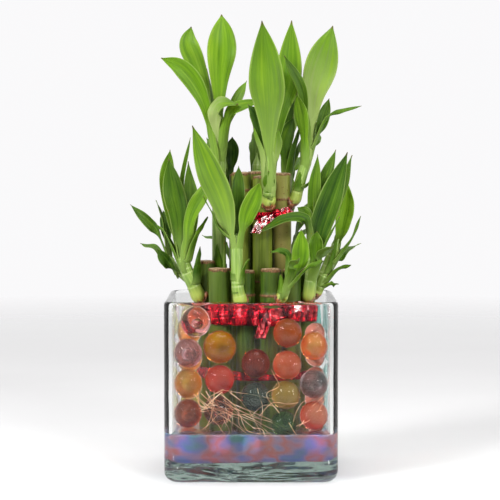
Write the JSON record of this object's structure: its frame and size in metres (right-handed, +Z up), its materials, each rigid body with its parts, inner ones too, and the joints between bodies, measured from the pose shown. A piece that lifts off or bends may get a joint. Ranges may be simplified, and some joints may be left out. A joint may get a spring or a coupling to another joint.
{
  "type": "lucky bamboo in a glass vase",
  "caption": "Two-tier bundle of cut lucky bamboo canes with leafy shoots, tied with red foil, in a square glass vase of coloured jelly beads and shallow water.",
  "frame": {"origin": "middle of the vase's underside, on the surface it stands on", "axes": "+Z up along the canes, -Y towards the front, +X to the right seen from the front"},
  "size_m": [0.1148, 0.0933, 0.2224],
  "materials": {
    "glass": "clear, polished",
    "water": "clear liquid",
    "cane_olive": "smooth waxy bark",
    "cane_green": "smooth waxy bark",
    "leaf_green": "satin leaf",
    "foil_red": "metallic foil",
    "bead_pink": "wet jelly",
    "bead_gold": "wet jelly",
    "bead_yellow": "wet jelly",
    "bead_red": "wet jelly",
    "bead_orange": "wet jelly",
    "bead_teal": "wet jelly",
    "bead_blue": "wet jelly",
    "bead_violet": "wet jelly"
  },
  "bodies": {
    "root": {"vase": "glass", "water": "water", "cane_tall_1": "cane_olive", "cane_tall_2": "cane_olive", "cane_tall_3": "cane_olive", "cane_tall_4": "cane_olive", "cane_tall_5": "cane_olive", "cane_tall_6": "cane_olive", "cane_short_1": "cane_green", "cane_short_2": "cane_green", "cane_short_3": "cane_green", "cane_short_4": "cane_green", "cane_short_5": "cane_green", "cane_short_6": "cane_green", "cane_short_7": "cane_green", "cane_short_8": "cane_green", "cane_short_9": "cane_green", "cane_short_10": "cane_green", "tie_tall": "foil_red", "tie_upper": "foil_red", "tie_lower": "foil_red", "bead_pink_top_left": "bead_pink", "bead_lilac_left": "bead_pink", "bead_gold": "bead_gold", "bead_yellow_left": "bead_yellow", "bead_red_left": "bead_red", "bead_rose_middle": "bead_red", "bead_orange_top": "bead_orange", "bead_orange_right": "bead_orange", "bead_red_middle": "bead_red", "bead_blue_right": "bead_blue", "bead_yellow_middle": "bead_yellow", "bead_teal_middle": "bead_teal", "bead_green_low": "bead_teal", "bead_red_low": "bead_red", "bead_pink_low": "bead_pink", "bead_orange_low": "bead_orange", "bead_violet_sunk": "bead_violet", "bead_blue_sunk": "bead_blue", "bead_teal_sunk": "bead_teal", "bead_blue_sunk_right": "bead_blue", "bead_stack_left": "bead_orange", "bead_stack_back_left": "bead_yellow", "bead_stack_right": "bead_pink", "bead_stack_corner_left": "bead_pink", "bead_stack_corner_right": "bead_teal", "shoot_tall_1": "leaf_green", "shoot_tall_3": "leaf_green", "shoot_tall_4": "leaf_green", "shoot_tall_5": "leaf_green", "shoot_tall_6": "leaf_green", "shoot_short_1": "leaf_green", "shoot_short_3": "leaf_green", "shoot_short_4": "leaf_green", "shoot_short_6": "leaf_green", "shoot_short_7": "leaf_green", "shoot_short_8": "leaf_green", "shoot_short_9": "leaf_green", "shoot_short_10": "leaf_green", "shoot_short_10_low": "leaf_green"}
  },
  "joints": []
}
